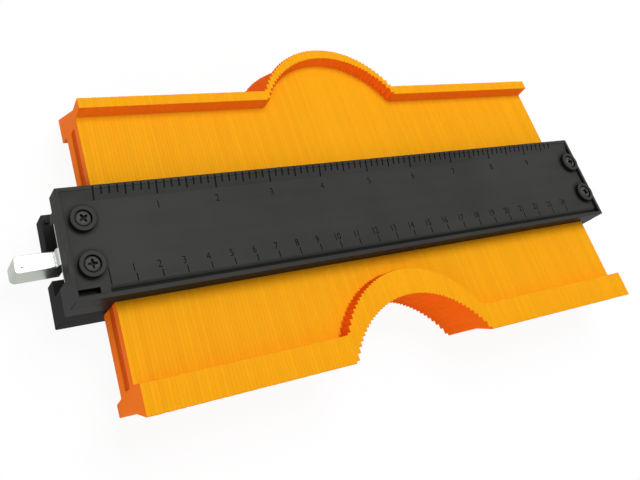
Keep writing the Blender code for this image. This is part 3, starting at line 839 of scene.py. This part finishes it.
def engrave(cover):
    """Cut both scales and their numerals into the ruler face."""
    body = bpy.context.scene.gauge_body
    tree = tick_tree()
    zero = COVER_LOW.x + body.zero
    last = COVER_HIGH.x - END_MARGIN
    floor = body.height - body.floor
    low = floor - body.tick_depth
    half = body.tick_width / 2
    tall = 2 * MM
    block = box_outline(-half, half, -0.5, 0.5)
    plain = bpy.data.materials.new("tool")
    front = prism("ticks", block, "Z", 0.0, tall)
    front = tree.use(
        front, Count=int((last - zero) / CENTIMETRE) + 1, Step=CENTIMETRE, Start=zero,
        Edge=COVER_LOW.y + FRONT_TICK_INSET, Grow=1.0, Short=FRONT_TICK, Half=FRONT_TICK,
        Long=ZERO_TICK, Middle_every=NEVER, Long_every=NEVER, Z=low, Material=plain)
    cut(cover, front)
    # The inch strip slopes, so each block is sheared to follow it before the cut.
    block = [(x * BACK_TICK_WIDER, y) for x, y in block]
    back = prism("ticks", block, "Z", 0.0, tall)
    back = tree.use(
        back, Count=int((last - zero) / (INCH / 8)) + 1, Step=INCH / 8, Start=zero,
        Edge=COVER_HIGH.y - BACK_TICK_INSET, Grow=-1.0, Short=EIGHTH_TICK, Half=HALF_TICK,
        Long=INCH_TICK, Middle_every=4, Long_every=8, Z=low, Material=plain)
    foot, slope = inch_ramp(body)
    for vertex in back.data.vertices:
        vertex.co.z += slope * max(0.0, vertex.co.y - foot)
    cut(cover, back)
    marks = []
    for unit, (shift, y) in ((CENTIMETRE, FRONT_NUMERAL), (INCH, BACK_NUMERAL)):
        for number in range(1, int((last - zero) / unit) + 1):
            marks.append((str(number), zero + number * unit + shift, y))
    cut(cover, numerals("numerals", marks, body.digit, low, floor + 0.7 * MM))
    bpy.data.materials.remove(plain)


class MakeTopCover(bpy.types.Operator):
    """Build the ruler cover with its scales, screw collars and lever lug"""
    bl_idname = "gauge.top_cover"
    bl_label = "Ruler cover"

    def execute(self, context):
        body, screw = groups()
        cover = prism("ruler_cover", cover_outline(), "Z", body.height - body.cover, body.height)
        root = body.height - body.cover + ROOT
        add_posts(cover, body.height / 2 + HALF_SEAM, root)
        x0 = COVER_LOW.x
        lug = box_outline(x0 + LUG_START, x0 + LUG_END, LUG_FRONT, LUG_BACK)
        add(cover, prism("lug", lug, "Z", PIN_LOW.z - LUG_DROP, root))
        ruler_recess(cover)
        top = body.height + screw.collar_rise
        floor = body.height - body.floor
        for x, y in screw_places():
            add(cover, prism("collar", circle(x, y, screw.collar, 64), "Z", floor - 0.8 * MM, top))
        for x, y in screw_places():
            seat = circle(x, y, screw.head + SEAT_CLEARANCE, 48)
            cut(cover, prism("seat", seat, "Z", top - SEAT_DEPTH, top + OVERCUT))
            hole = circle(x, y, screw.shank + SCREW_CLEARANCE, 24)
            cut(cover, prism("hole", hole, "Z", 0.0, top + OVERCUT))
        bore = circle(PIN_X, PIN_Z, PIN_RADIUS + PIN_CLEARANCE, 32)
        cut(cover, prism("pin hole", bore, "Y", PIN_LOW.y - 0.2 * MM, COVER_HIGH.y + OVERCUT))
        soften(cover, body.edge, 2)
        engrave(cover)
        shade(cover)
        plastic = cover_plastic(
            "ruler cover plastic", body.plastic, 0.04, floor, inch_ramp(body), screw.collar)
        dress(cover, plastic, "body", "cover", "top_cover")
        return {"FINISHED"}


class MakeBottomCover(bpy.types.Operator):
    """Build the plain lower cover with the lever's slot and the nut pockets"""
    bl_idname = "gauge.bottom_cover"
    bl_label = "Lower cover"

    def execute(self, context):
        body, screw = groups()
        cover = prism("lower_cover", cover_outline(), "Z", 0.0, body.cover)
        root = body.cover - ROOT
        add_posts(cover, root, body.height / 2 - HALF_SEAM)
        x0, y1 = COVER_LOW.x, COVER_HIGH.y
        locator = circle(x0 + LOCATOR_INSET, y1 - LOCATOR_BACK, LOCATOR_RADIUS, 24)
        add(cover, prism("locator", locator, "Z", root, body.cover + LOCATOR_RISE))
        slot = box_outline(
            x0 - OVERCUT, PIN_X + SLOT_LENGTH, LEVER_LOW.y - SLOT_CLEARANCE, SLOT_BACK)
        cut(cover, prism("slot", slot, "Z", -OVERCUT, body.cover + OVERCUT))
        flats = (NUT_HALF_FLATS + POCKET_CLEARANCE) / HEXAGON
        for x, y in screw_places():
            cut(cover, prism("pocket", circle(x, y, flats, 6), "Z", -OVERCUT, POCKET_DEPTH))
            hole = circle(x, y, screw.shank + SCREW_CLEARANCE, 24)
            cut(cover, prism("hole", hole, "Z", -OVERCUT, body.height))
        soften(cover, body.edge, 2)
        shade(cover)
        plastic = cover_plastic("lower cover plastic", body.plastic, 0.01)
        dress(cover, plastic, "body", "base", "bottom_cover")
        return {"FINISHED"}


# Fasteners

class MakeScrews(bpy.types.Operator):
    """Build the four cross-head screws with their threads"""
    bl_idname = "gauge.screws"
    bl_label = "Cover screws"

    def execute(self, context):
        body, screw = groups()
        seat = body.height + screw.collar_rise - SEAT_DEPTH + HEAD_GAP
        top = seat + screw.head_height
        rings = [(screw.shank, seat)]
        for inset, rise in HEAD_PROFILE:
            rings.append((screw.head - inset * MM, seat + rise * MM))
        rings.append((screw.head - HEAD_CROWN, top))
        root = screw.shank - THREAD_DEPTH
        for turn in range(int((seat - 2 * THREAD_LOW) / THREAD_PITCH) - 1):
            z = seat - 0.4 * MM - turn * THREAD_PITCH
            rings += [(screw.shank - 0.04 * MM, z), (root, z - THREAD_PITCH * 0.5)]
        rings += [(THREAD_TIP, THREAD_LOW), (root, THREAD_LOW + THREAD_DEPTH)]
        rings.sort(key=lambda ring: ring[1])
        piece = lathe("cover_screws", rings, 48)
        arm, half = CROSS_ARM, CROSS_HALF
        cross = []
        for quarter in range(4):
            angle = quarter * math.pi / 2
            for a, b in ((arm, -half), (arm, half), (half * 1.6, half * 1.6)):
                spot = Vector((a, b))
                spot.rotate(Matrix.Rotation(angle, 2))
                cross.append(tuple(spot))
        cut(piece, prism("cross", cross, "Z", top - CROSS_DEPTH, top + OVERCUT))
        clean(piece)
        shade(piece, 35.0)
        places = screw_places()
        steel = dark_steel("blackened screw steel", screw.steel, places, top)
        piece = four_tree().use(
            piece, Left=places[0][0], Right=places[2][0], Spread=screw.spread, Turn=SCREW_TURN,
            Material=steel)
        dress(piece, steel, "body", "screw", *SCREW_NAMES)
        return {"FINISHED"}


class MakeNuts(bpy.types.Operator):
    """Build the four hexagon nuts in the lower cover"""
    bl_idname = "gauge.nuts"
    bl_label = "Nuts"

    def execute(self, context):
        body, screw = groups()
        low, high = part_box(NUT_NAMES[0])
        flats = NUT_HALF_FLATS
        corners = circle(0.0, 0.0, flats / HEXAGON, 6)
        nut = prism("cover_nuts", corners, "Z", low.z, high.z)
        small, wide, rise = flats * 0.97, flats * 1.2, 0.4 * MM
        cone = [(small, low.z), (wide, low.z + rise), (wide, high.z - rise), (small, high.z)]
        combine(nut, lathe("chamfer", cone, 48), "INTERSECT")
        bore = circle(0.0, 0.0, screw.shank + NUT_CLEARANCE, 32)
        cut(nut, prism("bore", bore, "Z", low.z - OVERCUT, high.z + OVERCUT))
        clean(nut)
        shade(nut, 30.0)
        places = screw_places()
        zinc = bright_steel("plated nut steel", screw.zinc, (6.0, 6.0, 1.0))
        nut = four_tree().use(
            nut, Left=places[0][0], Right=places[2][0], Spread=screw.spread, Turn=0.0, Material=zinc)
        dress(nut, zinc, "body", "nut", *NUT_NAMES)
        return {"FINISHED"}


# Lever

class MakePin(bpy.types.Operator):
    """Build the hinge pin with its chamfered ends"""
    bl_idname = "gauge.pin"
    bl_label = "Hinge pin"

    def execute(self, context):
        pin = prism("hinge_pin", circle(PIN_X, PIN_Z, PIN_RADIUS, 48), "Y", PIN_LOW.y, PIN_END)
        soften(pin, 0.25 * MM, 2)
        shade(pin)
        steel = bright_steel("pin steel", (0.36, 0.37, 0.35), (14.0, 1.0, 14.0))
        dress(pin, steel, "body", "pin", "lever_pin")
        return {"FINISHED"}


class MakeLever(bpy.types.Operator):
    """Build the folded steel lever with its knuckle round the pin"""
    bl_idname = "gauge.lever"
    bl_label = "Lock lever"

    def plan(self, lever, tip, heel, inset):
        """The lever from above, straight at the back and wider at its tip."""
        front, back = LEVER_LOW.y + inset, LEVER_HIGH.y - inset
        outline = [
            (tip + inset, front), (heel, front + lever.flare), (heel, back), (tip + inset, back)]
        corner = max(0.3 * MM, lever.corner - inset)
        return rounded(outline, [corner * 1.5, 0.0, 0.0, corner], 6)

    def execute(self, context):
        lever = context.scene.gauge_lever
        tip, front, back = LEVER_LOW.x, LEVER_LOW.y, LEVER_HIGH.y
        low, top = LEVER_LOW.z, PIN_Z - LEVER_DROP
        heel = PIN_X + LEVER_HEEL
        root = front + lever.flare
        sheet = lever.sheet
        piece = prism("steel_lever", self.plan(lever, tip, heel, 0.0), "Z", low, top)
        soften(piece, lever.bend, 4, 60.0)
        hollow = self.plan(lever, tip, heel + 1 * MM, sheet)
        cut(piece, prism("hollow", hollow, "Z", low - 2 * MM, top - sheet))
        knuckle = circle(PIN_X, PIN_Z, LEVER_HIGH.z - PIN_Z, 48)
        add(piece, prism("knuckle", knuckle, "Y", root, back))
        bore = circle(PIN_X, PIN_Z, PIN_RADIUS + PIN_CLEARANCE, 40)
        cut(piece, prism("bore", bore, "Y", front - OVERCUT, back + OVERCUT))
        hole = circle(tip + DIMPLE_INSET, (root + back) / 2 - DIMPLE_SHIFT, lever.dimple, 24)
        cut(piece, prism("dimple", hole, "Z", top - sheet - OVERCUT, top + OVERCUT))
        clean(piece)
        shade(piece, 40.0)
        steel = bright_steel("plated lever steel", lever.steel, side=lever.fold)
        dress(piece, steel, "lever", "lever", "lock_lever")
        return {"FINISHED"}


class MakePlate(bpy.types.Operator):
    """Build the pressure plate that the lever's heel pushes against the leaves"""
    bl_idname = "gauge.plate"
    bl_label = "Pressure plate"

    def execute(self, context):
        low, high = PLATE_LOW, PLATE_HIGH
        outline = rounded(box_outline(low.y, high.y, low.z, high.z), 0.9 * MM, 4)
        plate = prism("pressure_plate_piece", outline, "X", low.x, high.x)
        soften(plate, 0.2 * MM, 2)
        shade(plate)
        material = plate_plastic("grey plate plastic", (0.12, 0.12, 0.12))
        dress(plate, material, "plate", "plate", "pressure_plate")
        return {"FINISHED"}


# Leaves

def leaf_outline(height):
    """Side view of one leaf, with its two flanged heads, as (y, z) points."""
    middle = height / 2
    head = middle - 1.7 * MM
    web = middle - 7.7 * MM - 0.3 * MM
    points = [
        (-64.5, head), (-61.0, 3.6 * MM), (-59.0, -head), (-54.3, -head), (-53.5, -web),
        (52.7, -web), (53.5, -head), (64.8, -head), (57.6, 6.4 * MM), (58.8, head),
        (54.1, head), (53.3, web), (-52.4, web), (-53.2, head)]
    return [((y + LEAF_MIDDLE) * MM, middle + z) for y, z in points]


def leaf_mesh(name):
    """One leaf between x = 0 and the pitch, with its edges broken."""
    leaf = bpy.context.scene.gauge_leaf
    outline = leaf_outline(bpy.context.scene.gauge_body.height)
    outline = rounded(outline, [radius * MM for radius in LEAF_CORNERS], 3)
    count = len(outline)
    inset = []
    for index in range(count):
        here = Vector(outline[index])
        before = (here - Vector(outline[index - 1])).normalized()
        after = (Vector(outline[(index + 1) % count]) - here).normalized()
        side = Vector((-(before.y + after.y), before.x + after.x)).normalized()
        at_tip = abs(here.x - LEAF_MIDDLE * MM) > TIP_REACH and abs(side.x) > 0.3
        inset.append(tuple(here + side * (leaf.tip_chamfer if at_tip else leaf.chamfer)))
    start, end = leaf.gap / 2, leaf.pitch - leaf.gap / 2
    sections = (
        (start, inset), (start + leaf.chamfer, outline), (end - leaf.chamfer, outline), (end, inset))
    piece = loft(name, [[(x, y, z) for y, z in shape] for x, shape in sections])
    middle = bpy.context.scene.gauge_body.height / 2 + GROOVE_RISE
    half = leaf.groove / 2
    groove = box_outline(GROOVE_FRONT, GROOVE_BACK, middle - half, middle + half)
    groove = rounded(groove, GROOVE_CORNER, 3)
    cut(piece, prism("groove", groove, "X", -OVERCUT, GROOVE_DEPTH))
    for polygon in piece.data.polygons:
        polygon.use_smooth = True
    piece.data.set_sharp_from_angle(angle=math.radians(35))
    return piece


class MakeLeaves(bpy.types.Operator):
    """Build the pack of sliding leaves, set by set, from one leaf and the arch rule"""
    bl_idname = "gauge.leaves"
    bl_label = "Leaf pack"

    def execute(self, context):
        leaf = context.scene.gauge_leaf
        tree = leaf_tree()
        start = PACK_LOW.x
        orange = leaf_plastic("orange leaf plastic", leaf.plastic, leaf.flank, leaf.pitch, start)
        for number, name in enumerate(SET_NAMES):
            piece = leaf_mesh(name.replace("leaf_set", "leaves"))
            piece = tree.use(
                piece, Count=leaf.per_set, First=number * leaf.per_set, Start=start,
                Pitch=leaf.pitch, Arch_centre=leaf.arch_centre, Arch_radius=leaf.arch_radius,
                Arch_depth=leaf.arch_depth, Jitter=leaf.jitter, Seed=7, Material=orange)
            dress(piece, orange, name, "leaf", name)
        return {"FINISHED"}


# Stage

def seen_directly(graph):
    """1 for rays from the camera, from gloss and through glass, or else 0."""
    path = graph.tree.nodes.new("ShaderNodeLightPath")
    seen = Wire(graph, path.outputs["Is Camera Ray"])
    for ray in ("Is Glossy Ray", "Is Transmission Ray"):
        seen = seen.math("MAXIMUM", Wire(graph, path.outputs[ray]))
    return seen


def lit_paper(name, shade, glow):
    """Paper that keeps a soft shadow and shows white to the camera and to gloss."""
    graph = Finish(name, shade)
    tree = graph.tree
    fibre = graph.noise(300.0, 3.0, 0.6)
    base = graph.mix(fibre, rgba(shade, 0.99), rgba(shade, 1.01))
    graph.set(Base_Color=base, Roughness=0.9, Specular_IOR_Level=0.1)
    seen = seen_directly(graph)
    white = graph.add("ShaderNodeEmission", None, {"Color": (1, 1, 1, 1), "Strength": 1.0})
    surface = Wire(graph, graph.shader.outputs[0])
    mixed = graph.add("ShaderNodeMixShader", None, {0: seen * glow, 1: surface, 2: white})
    tree.links.new(mixed.socket, tree.nodes["Material Output"].inputs["Surface"])
    return graph.material


def lit_world(level):
    """Even light on the object and plain white for the camera and for gloss."""
    world = bpy.data.worlds.new("studio")
    world.use_nodes = True
    tree = world.node_tree
    tree.nodes.clear()
    graph = Graph(tree)
    seen = seen_directly(graph)
    even = graph.add("ShaderNodeBackground", None, {0: (1, 1, 1, 1), 1: level})
    white = graph.add("ShaderNodeBackground", None, {0: (1, 1, 1, 1), 1: 1.0})
    mixed = graph.add("ShaderNodeMixShader", None, {0: seen, 1: even, 2: white})
    output = tree.nodes.new("ShaderNodeOutputWorld")
    tree.links.new(mixed.socket, output.inputs["Surface"])
    bpy.context.scene.world = world


def area_light(name, place, size, power):
    """A round lamp that looks at the middle of the gauge."""
    lamp = bpy.data.lights.new(name, "AREA")
    lamp.shape = "DISK"
    lamp.size = size
    lamp.energy = power
    light = link(name, lamp)
    light.location = place
    light.rotation_mode = "QUATERNION"
    light.rotation_quaternion = (Vector(LAMP_TARGET) - Vector(place)).to_track_quat("-Z", "Y")


class MakeStage(bpy.types.Operator):
    """Set the floor, the lamps, the even light and the camera"""
    bl_idname = "gauge.stage"
    bl_label = "Stage"

    def execute(self, context):
        stage = context.scene.gauge_stage
        span = stage.span
        work = bmesh.new()
        corners = ((-span, -span), (span, -span), (span, span), (-span, span))
        work.faces.new([work.verts.new((x, y, -0.05 * MM)) for x, y in corners])
        floor = link("floor", bpy.data.meshes.new("floor"))
        work.to_mesh(floor.data)
        work.free()
        floor.data.materials.append(lit_paper("pale paper", stage.paper, 0.93))
        lit_world(stage.sky)
        area_light("key lamp", (0.2, 0.4, 1.22), 0.8, stage.key)
        area_light("fill lamp", (-1.1, -0.95, 0.64), 1.6, stage.fill)
        camera_data = bpy.data.cameras.new("camera")
        camera_data.sensor_width = SENSOR
        camera_data.lens = CAMERA_FOCAL / IMAGE_WIDTH * SENSOR
        camera_data.shift_x = (IMAGE_WIDTH / 2 - CAMERA_CENTRE[0]) / IMAGE_WIDTH
        camera_data.shift_y = (CAMERA_CENTRE[1] - IMAGE_HEIGHT / 2) / IMAGE_WIDTH
        camera_data.clip_start = 0.01
        camera_data.clip_end = 50.0
        camera = link("camera", camera_data)
        turn = Matrix((CAMERA_RIGHT, CAMERA_UP, CAMERA_BACK)).transposed()
        camera.rotation_mode = "QUATERNION"
        camera.rotation_quaternion = turn.to_quaternion()
        camera.location = CAMERA_PLACE
        context.scene.camera = camera
        context.scene.view_settings.view_transform = "Standard"
        return {"FINISHED"}


OPERATORS = (
    MakeStage, MakeTopCover, MakeBottomCover, MakeScrews, MakeNuts, MakePin, MakeLever,
    MakePlate, MakeLeaves)


class GaugePanel(bpy.types.Panel):
    """Lists the pieces and the sizes they are made from"""
    bl_idname = "VIEW3D_PT_contour_gauge"
    bl_label = "Contour Gauge"
    bl_space_type = "VIEW_3D"
    bl_region_type = "UI"
    bl_category = "Gauge"

    def draw(self, context):
        column = self.layout.column()
        for name in GROUPS:
            group = getattr(context.scene, name)
            for key in group.__annotations__:
                column.prop(group, key)
        for operator in OPERATORS:
            column.operator(operator.bl_idname)


def register():
    for kind in (*GROUPS.values(), *OPERATORS, GaugePanel):
        bpy.utils.register_class(kind)
    for name, kind in GROUPS.items():
        setattr(bpy.types.Scene, name, PointerProperty(type=kind))


def unregister():
    for name in GROUPS:
        delattr(bpy.types.Scene, name)
    for kind in reversed((*GROUPS.values(), *OPERATORS, GaugePanel)):
        bpy.utils.unregister_class(kind)


def main():
    register()
    bpy.ops.gauge.stage()
    bpy.ops.gauge.top_cover()
    bpy.ops.gauge.bottom_cover()
    bpy.ops.gauge.screws()
    bpy.ops.gauge.nuts()
    bpy.ops.gauge.pin()
    bpy.ops.gauge.lever()
    bpy.ops.gauge.plate()
    bpy.ops.gauge.leaves()


if __name__ == "__main__":
    main()
